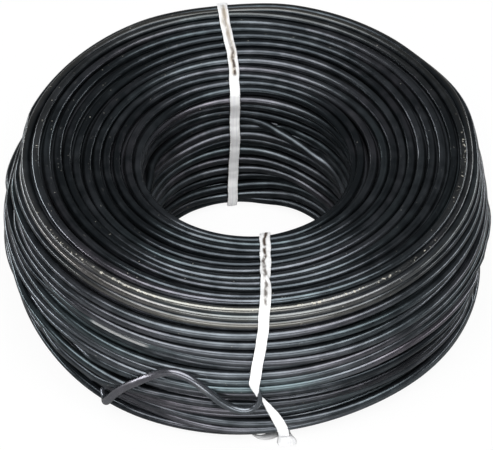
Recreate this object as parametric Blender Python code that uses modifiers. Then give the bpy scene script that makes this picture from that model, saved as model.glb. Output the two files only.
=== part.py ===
"""A coil of black annealed binding wire, held by two narrow plastic ties.

Units are metres, +Z is up, and the origin is on the floor under the middle of the bore.
The wire is one piece: a turned body whose ridges are the turns that show on its walls
and ends, with the free end of the wire joined to it. The free end leaves the lowest
outer turns, waves across the front of the coil, crosses over the front tie and tucks
in behind it.
"""

import math

import bmesh
import bpy
from mathutils import Vector

MM = 0.001

# Wire, 16 gauge, and the room one turn takes beside the next.
WIRE_DIAMETER = 1.6 * MM
TURN_PITCH = 1.7 * MM

# What lies against something keeps this clearance to it.
CLEARANCE = 0.3 * MM

# Ties: narrow flat tape, one loop round the coil's section each.
TIE_WIDTH = 1.9 * MM
TIE_PINCHED_WIDTH = 0.5 * MM
TIE_THICKNESS = 0.2 * MM
TIE_CORNER_STEPS = 5

# The coil lies on its ties, so its underside is this high.
UNDERSIDE = TIE_THICKNESS + CLEARANCE

# Coil, over the crests of its turns.
COIL_OUTER_RADIUS = 45.0 * MM
COIL_BORE_RADIUS = 17.8 * MM
COIL_HEIGHT = 32.3 * MM
COIL_FACETS = 32

# The free end stands out in front, so the bore's axis lies a little behind the middle.
BORE_AXIS = Vector((0.0, 0.4 * MM, 0.0))

# The section's corners before rounding, as (radius, height over the underside, rounding),
# from the outer bottom corner in under the coil, up the bore, out over the top and down
# the outer wall. The outer wall bellies out and the top dips towards the bore.
SECTION_CORNERS = [
    (COIL_OUTER_RADIUS - 1.3 * MM, 0.0, 3.0 * MM),
    (COIL_BORE_RADIUS, 0.0, WIRE_DIAMETER),
    (COIL_BORE_RADIUS + 0.8 * MM, COIL_HEIGHT - 3.5 * MM, 1.5 * WIRE_DIAMETER),
    (COIL_OUTER_RADIUS - 2.6 * MM, COIL_HEIGHT + 0.3 * MM, 4.0 * MM),
    (COIL_OUTER_RADIUS + 0.4 * MM, 15.0 * MM, 40.0 * MM),
]

# Heights over the crests of the turns: of the ties where they are pressed on and where
# the wire is under one, and of the wire where it lies loose and where a tie is under it.
PRESSED = CLEARANCE
OVER_WIRE = WIRE_DIAMETER + 2 * CLEARANCE
LOOSE = 0.5 * MM
OVER_TIE = TIE_THICKNESS + 2 * CLEARANCE

# The free end of the wire, bent by hand: the angle round the coil from the front in
# degrees, the way up the outer wall from the bottom corner, and the gap between the wire
# and the crests. Its first points lie in the lowest turns, which it comes out of.
FREE_END_ROUTE = [
    (-38.5, -2.1 * MM, -1.5 * MM),
    (-36.2, -0.7 * MM, -0.9 * MM),
    (-34.0, 1.4 * MM, 0.3 * MM),
    (-31.8, 3.9 * MM, LOOSE),
    (-29.5, 6.7 * MM, LOOSE),
    (-25.4, 10.7 * MM, LOOSE),
    (-21.8, 13.9 * MM, LOOSE),
    (-18.3, 15.6 * MM, LOOSE),
    (-16.0, 16.2 * MM, LOOSE),
    (-13.7, 16.0 * MM, LOOSE),
    (-10.8, 14.5 * MM, LOOSE),
    (-7.9, 12.8 * MM, LOOSE),
    (-4.9, 10.6 * MM, LOOSE),
    (-1.6, 9.3 * MM, OVER_TIE),
    (1.0, 9.6 * MM, OVER_TIE),
    (2.5, 11.0 * MM, OVER_TIE),
    (3.1, 12.4 * MM, OVER_TIE),
    (3.0, 13.6 * MM, 0.6 * MM),
    (2.6, 14.7 * MM, 0.35 * MM),
    (2.1, 15.6 * MM, 0.2 * MM),
]
FREE_END_STEPS = 3

# A tie's route, from over the top down the outer wall and in under the coil: the way up
# the section from the bottom outer corner, how far the tie lies towards +X from the
# middle, its width, and its height over the crests.
FRONT_TIE_ROUTE = [
    (29.3 * MM, 3.6 * MM, TIE_WIDTH, PRESSED),
    (24.7 * MM, 3.0 * MM, TIE_WIDTH, PRESSED),
    (19.7 * MM, 2.0 * MM, TIE_WIDTH, 2 * PRESSED),
    (15.9 * MM, 1.15 * MM, TIE_WIDTH, OVER_WIRE),
    (14.7 * MM, 1.0 * MM, 1.2 * MM, OVER_WIRE),
    (13.7 * MM, 1.0 * MM, TIE_PINCHED_WIDTH, (OVER_WIRE + PRESSED) / 2),
    (12.5 * MM, 1.3 * MM, TIE_PINCHED_WIDTH, PRESSED),
    (10.9 * MM, 2.2 * MM, 0.8 * MM, PRESSED),
    (9.8 * MM, 2.6 * MM, 1.1 * MM, PRESSED),
    (5.1 * MM, 3.7 * MM, TIE_WIDTH, PRESSED),
    (2.0 * MM, 4.4 * MM, TIE_WIDTH, PRESSED),
    (-1.9 * MM, 6.0 * MM, TIE_WIDTH, PRESSED),
    (-5.0 * MM, 6.4 * MM, TIE_WIDTH, PRESSED),
    (-25.5 * MM, 4.0 * MM, TIE_WIDTH, PRESSED),
    (-29.5 * MM, 3.4 * MM, TIE_WIDTH, PRESSED),
    (-65.5 * MM, 3.4 * MM, TIE_WIDTH, PRESSED),
]
BACK_TIE_ROUTE = [
    (31.2 * MM, -4.8 * MM, TIE_WIDTH, PRESSED),
    (-5.0 * MM, -4.8 * MM, TIE_WIDTH, PRESSED),
    (-25.5 * MM, -3.4 * MM, TIE_WIDTH, PRESSED),
    (-29.5 * MM, -3.1 * MM, TIE_WIDTH, PRESSED),
    (-53.5 * MM, -2.6 * MM, TIE_WIDTH, PRESSED),
    (-62.5 * MM, -2.8 * MM, TIE_WIDTH, PRESSED),
]
FRONT = -90.0
BACK = 90.0


def clear_scene():
    """Removes what a new Blender file starts with."""
    for obj in list(bpy.data.objects):
        bpy.data.objects.remove(obj)


def new_collection(name):
    """A collection in the scene that holds one kind of object."""
    made = bpy.data.collections.new(name)
    bpy.context.scene.collection.children.link(made)
    return made


def plain_material(name, colour, roughness, metallic):
    """A Principled material with one colour."""
    made = bpy.data.materials.new(name)
    made.use_nodes = True
    shader = made.node_tree.nodes["Principled BSDF"]
    shader.inputs["Base Color"].default_value = (*colour, 1.0)
    shader.inputs["Roughness"].default_value = roughness
    shader.inputs["Metallic"].default_value = metallic
    return made


def outward(direction):
    """The outward normal of a run that goes clockwise round the (radius, height) plane."""
    return Vector((-direction.y, direction.x))


def section_runs(offset):
    """The section's outline, moved out from the crests by the offset, as arcs and lines.

    An arc is (length, centre, radius, start angle) and a line is (length, start,
    direction). The first run is the bottom outer corner's arc.
    """
    corners = [(Vector((r, z + UNDERSIDE)), rounding) for r, z, rounding in SECTION_CORNERS]
    arcs = []
    for index, (corner, rounding) in enumerate(corners):
        before = corners[index - 1][0]
        after = corners[(index + 1) % len(corners)][0]
        first = outward((corner - before).normalized())
        last = outward((after - corner).normalized())
        turn = first.angle(last)
        centre = corner - (first + last).normalized() * rounding / math.cos(turn / 2)
        arcs.append((centre, rounding + offset, first, last, turn))
    runs = []
    for index, (centre, radius, first, last, turn) in enumerate(arcs):
        runs.append((radius * turn, centre, radius, math.atan2(first.y, first.x)))
        meets, meets_radius, meets_normal = arcs[(index + 1) % len(arcs)][:3]
        start = centre + last * radius
        way = meets + meets_normal * meets_radius - start
        runs.append((way.length, start, way.normalized()))
    return runs


def outline_length(offset):
    """The way once round the section, at that offset from the crests."""
    return sum(run[0] for run in section_runs(offset))


def outline_point(distance, offset):
    """The (radius, height) point that far round the outline, and its outward normal."""
    runs = section_runs(offset)
    distance %= sum(run[0] for run in runs)
    for run in runs:
        if distance <= run[0]:
            break
        distance -= run[0]
    if len(run) == 3:
        _, start, direction = run
        return start + direction * distance, outward(direction)
    _, centre, radius, start_angle = run
    angle = start_angle - distance / radius
    normal = Vector((math.cos(angle), math.sin(angle)))
    return centre + normal * radius, normal


def turn_ridges():
    """The coil's profile: one half-hexagon ridge for each turn that shows."""
    inset = -WIRE_DIAMETER / 2
    length = outline_length(inset)
    turns = round(length / TURN_PITCH)
    pitch = length / turns
    crest_half = WIRE_DIAMETER / 2 * math.tan(math.radians(30))
    points = []
    for turn in range(turns):
        centre, normal = outline_point(turn * pitch, inset)
        crest = centre + normal * WIRE_DIAMETER / 2
        along = Vector((normal.y, -normal.x)) * crest_half
        valley, _ = outline_point((turn + 0.5) * pitch, inset)
        points += [crest - along, crest + along, valley]
    return points


def turned_coil(collection):
    """The turned body: the ridged profile, swept once round the bore's axis."""
    profile = turn_ridges()
    mesh = bpy.data.meshes.new("wire_coil")
    edges = [(i, (i + 1) % len(profile)) for i in range(len(profile))]
    mesh.from_pydata([(r, 0.0, z) for r, z in profile], edges, [])
    coil = bpy.data.objects.new("wire_coil", mesh)
    coil.location = BORE_AXIS
    collection.objects.link(coil)
    sweep = coil.modifiers.new("turn round the bore", "SCREW")
    sweep.angle = math.tau
    sweep.steps = COIL_FACETS
    sweep.render_steps = COIL_FACETS
    sweep.use_merge_vertices = True
    sweep.merge_threshold = 0.01 * MM
    sweep.use_smooth_shade = False
    return coil


def place_on_coil(angle, distance, lift):
    """A point over the crests, and the way the section faces there.

    It is given by its angle round the coil, the way round the section from the bottom
    outer corner, and its height over the crests.
    """
    (radius, height), normal = outline_point(distance, 0.0)
    out = Vector((math.cos(angle), math.sin(angle), 0.0))
    up = Vector((0.0, 0.0, 1.0))
    facing = out * normal.x + up * normal.y
    return BORE_AXIS + out * radius + up * height + facing * lift, facing


def smooth_through(points, steps):
    """A Catmull-Rom curve through the points, with that many steps between neighbours."""
    ends = [points[0] * 2 - points[1], *points, points[-1] * 2 - points[-2]]
    curve = []
    for a, b, c, d in zip(ends, ends[1:], ends[2:], ends[3:]):
        for step in range(steps):
            t = step / steps
            straight = 2 * b + (c - a) * t
            bend = (2 * a - 5 * b + 4 * c - d) * t**2
            twist = (3 * b - a - 3 * c + d) * t**3
            curve.append((straight + bend + twist) / 2)
    return [*curve, points[-1]]


def free_end_points():
    """The free end's centreline."""
    points = []
    for degrees, way_up, gap in FREE_END_ROUTE:
        angle = math.radians(FRONT + degrees)
        points.append(place_on_coil(angle, -way_up, gap + WIRE_DIAMETER / 2)[0])
    return smooth_through(points, FREE_END_STEPS)


def wire_mesh(name, points, collection):
    """Round wire along the points, as a closed mesh object."""
    curve = bpy.data.curves.new(name, "CURVE")
    curve.dimensions = "3D"
    curve.bevel_depth = WIRE_DIAMETER / 2
    curve.bevel_resolution = 2
    curve.use_fill_caps = True
    spline = curve.splines.new("POLY")
    spline.points.add(len(points) - 1)
    for place, point in zip(spline.points, points):
        place.co = (*point, 1.0)
    guide = bpy.data.objects.new(name + "_guide", curve)
    collection.objects.link(guide)
    bpy.context.view_layer.update()
    graph = bpy.context.evaluated_depsgraph_get()
    mesh = bpy.data.meshes.new_from_object(guide.evaluated_get(graph))
    welded = bmesh.new()
    welded.from_mesh(mesh)
    bmesh.ops.remove_doubles(welded, verts=welded.verts, dist=0.01 * MM)
    welded.to_mesh(mesh)
    welded.free()
    wire = bpy.data.objects.new(name, mesh)
    wire.matrix_world = guide.matrix_world
    collection.objects.link(wire)
    bpy.data.objects.remove(guide)
    return wire


def join_free_end(coil, helpers):
    """Joins the free end of the wire to the turned body, as one piece of wire."""
    end = wire_mesh("free_end", free_end_points(), helpers)
    end.hide_render = True
    union = coil.modifiers.new("join the free end", "BOOLEAN")
    union.operation = "UNION"
    union.solver = "EXACT"
    union.object = end


def route_at(route, distance):
    """A tie's sideways place, width and lift that far round, straight between the rows."""
    length = outline_length(0.0)
    rows = sorted((-row[0] % length, *row[1:]) for row in route)
    first = (rows[0][0] + length, *rows[0][1:])
    last = (rows[-1][0] - length, *rows[-1][1:])
    rows = [last, *rows, first]
    for here, after in zip(rows, rows[1:]):
        if here[0] <= distance <= after[0]:
            break
    part = (distance - here[0]) / (after[0] - here[0])
    return [low + (high - low) * part for low, high in zip(here[1:], after[1:])]


def tie_places(route):
    """The places round the section where a tie's ribbon has an edge across it."""
    length = outline_length(0.0)
    places = [-row[0] % length for row in route]
    start = 0.0
    for run in section_runs(0.0):
        steps = TIE_CORNER_STEPS if len(run) == 4 else 1
        places += [start + run[0] * step / steps for step in range(steps)]
        start += run[0]
    kept = []
    for place in sorted(places):
        if not kept or place - kept[-1] > CLEARANCE:
            kept.append(place)
    return kept


def looped_tie(name, facing, route, collection):
    """One tie: a flat ribbon round the coil's section, given its thickness outwards."""
    turned = 1.0 if facing == FRONT else -1.0
    stations = []
    for distance in tie_places(route):
        sideways, width, lift = route_at(route, distance)
        reach = outline_point(distance, 0.0)[0].x
        angle = math.radians(facing) + turned * math.asin(sideways / reach)
        stations.append((*place_on_coil(angle, distance, lift), width))
    ribbon = bmesh.new()
    edges = []
    for index, (centre, normal, width) in enumerate(stations):
        along = stations[(index + 1) % len(stations)][0] - stations[index - 1][0]
        across = along.cross(normal).normalized() * width / 2
        edges.append((ribbon.verts.new(centre - across), ribbon.verts.new(centre + across)))
    for (a, b), (c, d) in zip(edges, edges[1:] + edges[:1]):
        ribbon.faces.new((a, b, d, c))
    mesh = bpy.data.meshes.new(name)
    ribbon.to_mesh(mesh)
    ribbon.free()
    tie = bpy.data.objects.new(name, mesh)
    collection.objects.link(tie)
    tape = tie.modifiers.new("tape thickness", "SOLIDIFY")
    tape.thickness = TIE_THICKNESS
    tape.offset = 1.0
    tape.use_even_offset = True
    return tie


def main():
    clear_scene()
    parts = new_collection("binding wire coil")
    helpers = new_collection("helpers")
    steel = plain_material("black annealed steel", (0.020, 0.022, 0.024), 0.45, 0.9)
    plastic = plain_material("white plastic tape", (0.80, 0.79, 0.77), 0.5, 0.0)
    coil = turned_coil(parts)
    join_free_end(coil, helpers)
    coil.data.materials.append(steel)
    front = looped_tie("tie_front", FRONT, FRONT_TIE_ROUTE, parts)
    back = looped_tie("tie_back", BACK, BACK_TIE_ROUTE, parts)
    for tie in (front, back):
        tie.data.materials.append(plastic)


main()
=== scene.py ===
"""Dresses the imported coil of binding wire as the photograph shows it.

The turns that show are one length of wire, wound round the coil's section from the bottom
outer corner in under the coil, up the bore, out over the top and down the outer wall,
where it leaves as the free end. Lengths in the classes below are in millimetres, and
become metres when a mesh is made.
"""

import logging
import math
from dataclasses import dataclass, field
from enum import Enum
from functools import cached_property
from typing import ClassVar

import bpy
import numpy as np
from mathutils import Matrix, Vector


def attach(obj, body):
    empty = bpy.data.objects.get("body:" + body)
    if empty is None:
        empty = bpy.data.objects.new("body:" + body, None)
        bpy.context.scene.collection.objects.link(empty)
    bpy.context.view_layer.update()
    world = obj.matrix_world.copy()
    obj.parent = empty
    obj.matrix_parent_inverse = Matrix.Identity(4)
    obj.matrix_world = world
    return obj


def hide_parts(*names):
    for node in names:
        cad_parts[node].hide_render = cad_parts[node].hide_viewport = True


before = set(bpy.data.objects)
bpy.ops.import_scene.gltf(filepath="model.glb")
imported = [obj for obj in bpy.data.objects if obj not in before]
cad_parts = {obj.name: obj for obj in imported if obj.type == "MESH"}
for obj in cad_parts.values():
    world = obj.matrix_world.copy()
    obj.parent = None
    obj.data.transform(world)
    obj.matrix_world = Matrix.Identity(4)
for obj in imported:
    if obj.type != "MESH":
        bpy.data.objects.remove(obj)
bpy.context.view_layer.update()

LOG = logging.getLogger("binding_wire_coil")
MM = 0.001
BODY = "root"
SocketOrValue = bpy.types.NodeSocket | bpy.types.Node | tuple | float


def linear(colour: str) -> tuple[float, float, float, float]:
    """Turns an sRGB hex colour into linear RGBA.

    Args:
        colour: six hex digits with a leading hash.

    Returns:
        Red, green, blue and an alpha of 1, as Blender's sockets take them.
    """
    values = [int(colour[place:place + 2], 16) / 255 for place in (1, 3, 5)]
    red, green, blue = (v / 12.92 if v <= 0.04045 else ((v + 0.055) / 1.055) ** 2.4 for v in values)
    return red, green, blue, 1.0


def plug(tree: bpy.types.NodeTree, node: bpy.types.Node, inputs: dict | tuple) -> None:
    """Links or fills a node's inputs.

    Args:
        tree: the material's or world's node tree.
        node: the node.
        inputs: what goes in, by the name or number of each input, or in their order. An
            output socket is linked, and so is a node's first output. A value is filled in.
    """
    for name, value in inputs.items() if isinstance(inputs, dict) else enumerate(inputs):
        if isinstance(value, bpy.types.Node):
            value = value.outputs[0]
        if isinstance(value, bpy.types.NodeSocket):
            tree.links.new(value, node.inputs[name])
        else:
            node.inputs[name].default_value = value


def add_node(
    tree: bpy.types.NodeTree, kind: str, inputs: dict | tuple = (), **settings: object
) -> bpy.types.Node:
    """Adds a node, gives it its settings, and plugs in its inputs.

    Args:
        tree: the material's or world's node tree.
        kind: Blender's name of the node class.
        inputs: what goes in, as plug takes it.
        settings: the node's own attributes.

    Returns:
        The new node.
    """
    node = tree.nodes.new(kind)
    for name, value in settings.items():
        setattr(node, name, value)
    plug(tree, node, inputs)
    return node


def add_grain(
    tree: bpy.types.NodeTree, place: bpy.types.NodeSocket, scale: tuple[float, float, float], detail: float
) -> bpy.types.Node:
    """Draws random grains on a surface, each 1 / scale across.

    Args:
        tree: the material's node tree.
        place: where on the surface.
        scale: how many grains there are to a unit of the place, each way.
        detail: how many finer sizes of grain are added.

    Returns:
        A node with values round 0.5.
    """
    laid = add_node(tree, "ShaderNodeMapping", {"Vector": place, "Scale": scale})
    return add_node(tree, "ShaderNodeTexNoise", {"Vector": laid, "Scale": 1.0, "Detail": detail})


def lay_over(
    tree: bpy.types.NodeTree,
    under: SocketOrValue,
    over: SocketOrValue,
    amount: SocketOrValue,
    *ramps: tuple,
) -> tuple[bpy.types.NodeSocket, bpy.types.Node]:
    """Lays one colour over another: amount = amount * ramp, for each ramp in turn.

    Args:
        tree: the material's node tree.
        under: the colour below.
        over: the colour on top.
        amount: how much of the top shows, from 0 to 1, before the ramps.
        ramps: patterns, each with the two values that it runs between and the two that
            they are turned into.

    Returns:
        The mixed colour, and the node that says how much of the top shows.
    """
    for ramp in ramps:
        part = add_node(tree, "ShaderNodeMapRange", ramp)
        amount = add_node(tree, "ShaderNodeMath", (amount, part), operation="MULTIPLY")
    mixed = add_node(tree, "ShaderNodeMix", {0: amount, 6: under, 7: over}, data_type="RGBA")
    return mixed.outputs[2], amount


def smooth_step(value: np.ndarray, low: float, high: float) -> np.ndarray:
    """Rises from 0 at low to 1 at high along 3x squared minus 2x cubed."""
    part = np.clip((value - low) / (high - low), 0.0, 1.0)
    return part * part * (3.0 - 2.0 * part)


def band(value: np.ndarray, *edges: float) -> np.ndarray:
    """Rises smoothly from 0 to 1 between the first two edges, and falls between the last two."""
    return smooth_step(value, edges[0], edges[1]) * smooth_step(-value, -edges[3], -edges[2])


def near(off: np.ndarray, full: float, none: float) -> np.ndarray:
    """Is 1 up to the first distance from 0, and falls smoothly to 0 at the second."""
    return smooth_step(-np.abs(off), -none, -full)


def wrapped(value: np.ndarray, length: float) -> np.ndarray:
    """Brings values on a loop of that length to within half of it from 0."""
    return np.mod(value + length / 2, length) - length / 2


def unit(vectors: np.ndarray) -> np.ndarray:
    """Scales each vector to a length of 1."""
    return vectors / np.linalg.norm(vectors, axis=-1, keepdims=True)


def run_along(path: np.ndarray) -> np.ndarray:
    """The length of the path from its start to each of its points."""
    return np.concatenate([[0.0], np.cumsum(np.linalg.norm(np.diff(path, axis=0), axis=1))])


def wire_frame(path: np.ndarray, facing: np.ndarray) -> tuple[np.ndarray, np.ndarray]:
    """Works out how a wire's round profile stands all along it.

    Across is facing crossed with the wire's direction, and outward is that direction
    crossed with across.

    Args:
        path: (n, 3) centres of the wire.
        facing: (n, 3) vectors out of the coil there.

    Returns:
        Unit vectors across the wire and outward.
    """
    along = unit(np.gradient(path, axis=0))
    across = unit(np.cross(facing, along))
    return across, np.cross(along, across)


def wander(place: np.ndarray, seed: int, slowest: float, fastest: float, waves: int = 40) -> np.ndarray:
    """Smooth random values along a line: a sum of cosines of random pace and phase.

    Args:
        place: where along the line, in any unit.
        seed: gives the same values each run.
        slowest: the slowest wave, in cycles per unit.
        fastest: the fastest wave, in cycles per unit.
        waves: how many waves are added.

    Returns:
        Values with a mean near 0 and a standard deviation near 1.
    """
    draw = np.random.default_rng(seed)
    pace = draw.uniform(slowest, fastest, waves)
    phase = draw.uniform(0.0, math.tau, waves)
    total = np.zeros_like(place, dtype=float)
    for cycles, start in zip(pace, phase):
        total += np.cos(math.tau * cycles * place + start)
    return total * math.sqrt(2.0 / waves)


@dataclass(frozen=True)
class Finish:
    """A surface finish, with its name and the record's material slot that it stands for."""

    name: str = ""
    slot: str = ""

    def paint(self, tree: bpy.types.NodeTree) -> dict:
        """Builds a finish's own nodes. Each finish does it in its own way."""
        raise NotImplementedError

    @cached_property
    def material(self) -> bpy.types.Material:
        """Builds the material, once.

        Returns:
            The material, with what paint gives in its shader's inputs.
        """
        made = bpy.data.materials.new(self.name)
        made.use_nodes = True
        plug(made.node_tree, made.node_tree.nodes["Principled BSDF"], self.paint(made.node_tree))
        return made


def make_piece(
    name: str, points: np.ndarray, faces: np.ndarray, finish: Finish, attributes: dict[str, np.ndarray]
) -> bpy.types.Object:
    """Makes a smooth-shaded mesh object that rides on the coil.

    Args:
        name: the piece's name.
        points: (count, 3) corner positions in millimetres.
        faces: (count, 4) corner numbers, counter-clockwise seen from outside.
        finish: how its surface looks.
        attributes: attribute name to a number or a vector for each point.

    Returns:
        The object, at the origin.
    """
    mesh = bpy.data.meshes.new(name)
    mesh.from_pydata((points * MM).tolist(), [], faces.tolist())
    mesh.shade_smooth()
    for label, values in attributes.items():
        vector = values.ndim == 2
        layer = mesh.attributes.new(label, "FLOAT_VECTOR" if vector else "FLOAT", "POINT")
        flat = np.ascontiguousarray(values, dtype=np.float32).ravel()
        layer.data.foreach_set("vector" if vector else "value", flat)
    mesh.materials.append(finish.material)
    piece = bpy.data.objects.new(name, mesh)
    bpy.context.scene.collection.objects.link(piece)
    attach(piece, BODY)
    return piece


def carry_profile(
    path: np.ndarray, across: np.ndarray, outward: np.ndarray, profile: np.ndarray, closed: bool
) -> tuple[np.ndarray, np.ndarray]:
    """Carries a closed profile along a path: point = path + x * across + y * outward.

    Args:
        path: (n, 3) centre points.
        across: (n, 3) unit vectors along the profile's x.
        outward: (n, 3) unit vectors along the profile's y.
        profile: (m, 2) corners, or (n, m, 2) where the profile changes along the path.
        closed: whether the path's end joins its start.

    Returns:
        The points and the quads. The ends of an open path are closed by a fan of quads
        round a middle point, so the piece has no hole.
    """
    shapes = np.broadcast_to(profile, (len(path), *profile.shape[-2:]))
    count, sides = shapes.shape[:2]
    grid = (
        path[:, None]
        + shapes[..., :1] * across[:, None]
        + shapes[..., 1:] * outward[:, None]
    )
    rows = np.arange(count if closed else count - 1)
    after = (rows + 1) % count
    column = np.arange(sides)
    beside = (column + 1) % sides
    quads = np.stack(
        [
            rows[:, None] * sides + column,
            rows[:, None] * sides + beside,
            after[:, None] * sides + beside,
            after[:, None] * sides + column,
        ],
        axis=-1,
    ).reshape(-1, 4)
    points = grid.reshape(-1, 3)
    if closed:
        return points, quads
    half = sides // 2
    pairs = np.arange(0, half - 1)
    start = np.stack([pairs, sides - 1 - pairs, sides - 2 - pairs, pairs + 1], axis=-1)
    end = start[:, ::-1] + (count - 1) * sides
    return points, np.concatenate([quads, start, end])


def round_profile(radius: float, sides: int) -> np.ndarray:
    """A circle's corners, x = r cos a and y = r sin a, for a going round once."""
    angle = math.tau * np.arange(sides) / sides
    return radius * np.stack([np.cos(angle), np.sin(angle)], axis=-1)


def steel_marks(run: np.ndarray, profile: np.ndarray, **looks: np.ndarray | float) -> dict[str, np.ndarray]:
    """Gathers what the steel's material reads at each corner of a wire.

    Args:
        run: how far along the wire each ring of corners is, in millimetres.
        profile: (m, 2) places of a ring's corners round the wire's middle.
        looks: for each ring, or for all, the tone, which is how light the oxide is, at
        random and with painted light and shade by place, the tan film, the white specks,
        and the satin, which is how much duller the wire is than the top's. One that isn't
        given is 0.

    Returns:
        Attribute name to values. By the last, the place on the wire, its streaks are drawn.
    """
    sides = len(profile)
    marks = {}
    for name in ("tone", "film", "specks", "satin"):
        marks[name] = np.repeat(np.broadcast_to(looks.get(name, 0.0), len(run)), sides)
    marks["lie"] = np.column_stack([np.repeat(run, sides), np.tile(profile, (len(run), 1))])
    return marks


@dataclass
class Section:
    """The outline of the coil's section over the crests of its turns, as in the CAD."""

    outer_radius: float = 45.0
    bore_radius: float = 17.8
    height: float = 32.3
    wire: float = 1.6
    underside: float = 0.5
    axis: tuple[float, float] = (0.0, 0.4)
    samples: int = 6000

    def __post_init__(self) -> None:
        """Tabulates the outline: way round, radius, height and outward normal.

        Each corner has a radius, a height and a rounding.
        """
        corners = [
            (self.outer_radius - 1.3, 0.0, 3.0),
            (self.bore_radius, 0.0, self.wire),
            (self.bore_radius + 0.8, self.height - 3.5, 1.5 * self.wire),
            (self.outer_radius - 2.6, self.height + 0.3, 4.0),
            (self.outer_radius + 0.4, 15.0, 40.0),
        ]
        tips = np.array([(r, z + self.underside) for r, z, _ in corners])
        rounding = np.array([corner[2] for corner in corners])
        into = unit(tips - np.roll(tips, 1, axis=0))
        leaving = np.roll(into, -1, axis=0)
        first = np.stack([-into[:, 1], into[:, 0]], axis=-1)
        last = np.stack([-leaving[:, 1], leaving[:, 0]], axis=-1)
        turn = np.arccos((first * last).sum(axis=1))
        middle = unit(first + last)
        centre = tips - middle * (rounding / np.cos(turn / 2))[:, None]
        start = np.arctan2(first[:, 1], first[:, 0])
        place, normal = [], []
        for index in range(len(corners)):
            angle = start[index] - np.linspace(0.0, turn[index], self.samples // 10)
            facing = np.stack([np.cos(angle), np.sin(angle)], axis=-1)
            place.append(centre[index] + facing * rounding[index])
            normal.append(facing)
            ahead = (index + 1) % len(corners)
            leaves = centre[index] + last[index] * rounding[index]
            meets = centre[ahead] + first[ahead] * rounding[ahead]
            part = np.linspace(0.0, 1.0, self.samples // 10)[:, None]
            place.append(leaves + (meets - leaves) * part)
            normal.append(np.broadcast_to(last[index], (self.samples // 10, 2)))
        self.place = np.concatenate(place)
        self.normal = np.concatenate(normal)
        self.way = run_along(self.place)
        self.inset_way = run_along(self.place - self.normal * self.wire / 2)
        self.length = float(self.way[-1])
        self.inset_length = float(self.inset_way[-1])

    def at(self, way: np.ndarray, inset: bool = False) -> tuple[np.ndarray, ...]:
        """The outline's place and facing.

        Args:
            way: the way round from the bottom outer corner, in under the coil.
            inset: whether the way is measured along the wires' centres.

        Returns:
            Radius, height, and the radial and upward parts of the outward normal.
        """
        table, length = (self.inset_way, self.inset_length) if inset else (self.way, self.length)
        way = np.mod(way, length)
        values = (self.place[:, 0], self.place[:, 1], self.normal[:, 0], self.normal[:, 1])
        return tuple(np.interp(way, table, column) for column in values)

    def in_space(
        self, angle: np.ndarray, way: np.ndarray, lift: np.ndarray, inset: bool = False
    ) -> tuple[np.ndarray, np.ndarray]:
        """Points over the crests, and the way the section faces there.

        Args:
            angle: round the coil from +X, in radians.
            way: the way round the section.
            lift: height over the crests.
            inset: whether the way is measured along the wires' centres.

        Returns:
            (n, 3) points and (n, 3) outward unit vectors.
        """
        radius, height, facing_out, facing_up = self.at(way, inset)
        out = np.stack([np.cos(angle), np.sin(angle), np.zeros_like(angle)], axis=-1)
        up = np.array([0.0, 0.0, 1.0])
        facing = out * facing_out[..., None] + up * facing_up[..., None]
        centre = np.array([*self.axis, 0.0])
        points = centre + out * radius[..., None] + up * height[..., None] + facing * lift[..., None]
        return points, facing


class Wall(Enum):
    """The stretches of turns that are pieces of their own, with their names, along the wire."""

    UNDERSIDE = "wire_under_turns"
    BORE = "wire_bore_turns"
    TOP = "wire_top_turns"
    OUTER = "wire_outer_turns"


@dataclass(frozen=True)
class Patch:
    """A place on the coil, with its spread in degrees and its reach over the turns."""

    azimuth: float
    spread: float
    way: float
    reach: float

    def hump(self, azimuth: np.ndarray) -> np.ndarray:
        """A hump round the coil: the cosine squared of a quarter turn times azimuth / spread."""
        share = wrapped(np.degrees(azimuth) - self.azimuth, 360.0) / self.spread
        return np.cos(np.clip(share, -1.0, 1.0) * math.pi / 2) ** 2


@dataclass(frozen=True)
class Dent(Patch):
    """A place where a bundle of turns lies proud of the section, or sunk into it."""

    depth: float
    edge: float = 0.5

    def at(self, way: np.ndarray, azimuth: np.ndarray, length: float) -> np.ndarray:
        """Its depth: the hump, with steep edges across the turns."""
        across = wrapped(way - self.way, length)
        across_turns = near(across, self.reach - self.edge, self.reach + self.edge)
        return self.depth * self.hump(azimuth) * across_turns


@dataclass(frozen=True)
class Pinch(Patch):
    """A place where the turns crowd together, and fan out again further round the coil."""

    pull: float
    steepness: float = 1.65
    narrowness: float = 0.8

    def at(self, way: np.ndarray, azimuth: np.ndarray, length: float) -> np.ndarray:
        """Its pull towards the middle: x times a bell curve of x, in a hump round the coil."""
        across = wrapped(way - self.way, length) / self.reach
        bell = np.exp(-self.narrowness * across**2)
        return -self.pull * self.steepness * self.hump(azimuth) * across * bell


@dataclass(frozen=True)
class Crossing:
    """A turn that climbs over its neighbours to a slot further on, and later comes back."""

    azimuth: float
    way: float
    slots: int
    length: float
    span: float


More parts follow.
